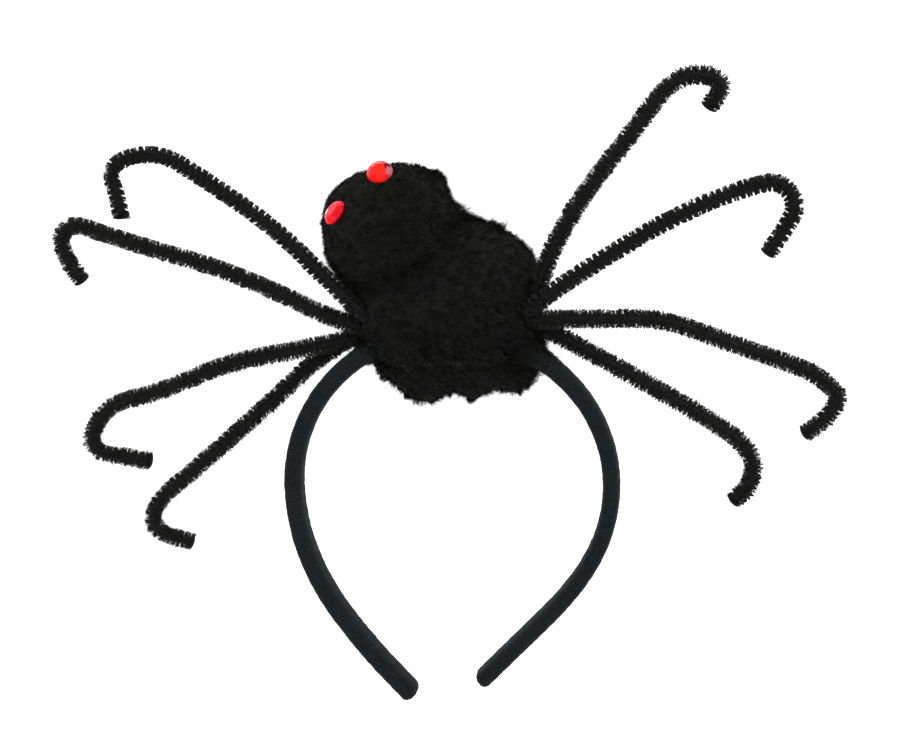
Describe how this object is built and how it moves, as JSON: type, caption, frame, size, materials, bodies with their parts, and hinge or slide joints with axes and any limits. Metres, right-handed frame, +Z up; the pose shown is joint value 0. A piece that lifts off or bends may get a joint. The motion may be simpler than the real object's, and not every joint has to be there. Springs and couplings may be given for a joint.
{
  "type": "spider headband",
  "caption": "Costume hair band with a stuffed black plush spider on its crown, red faceted eyes and bent chenille legs with hooked feet",
  "frame": {"origin": "the centre of the footprint, on the surface that the headband lies on", "axes": "+Z up from that surface, +X along the span of the legs, +Y from the band's tips toward its crown"},
  "size_m": [0.3033, 0.2402, 0.0579],
  "materials": {
    "band_cloth": "matte dark slate velvet cloth",
    "black_plush": "short matted black plush pile",
    "chenille": "black bristle pile on a twisted wire",
    "red_stone": "clear gloss"
  },
  "bodies": {
    "root": {"headband": "band_cloth", "abdomen": "black_plush", "head": "black_plush", "eye_left": "red_stone", "eye_right": "red_stone", "leg_left_1": "chenille", "leg_left_2": "chenille", "leg_left_3": "chenille", "leg_left_4": "chenille", "leg_right_1": "chenille", "leg_right_2": "chenille", "leg_right_3": "chenille", "leg_right_4": "chenille"}
  },
  "joints": []
}
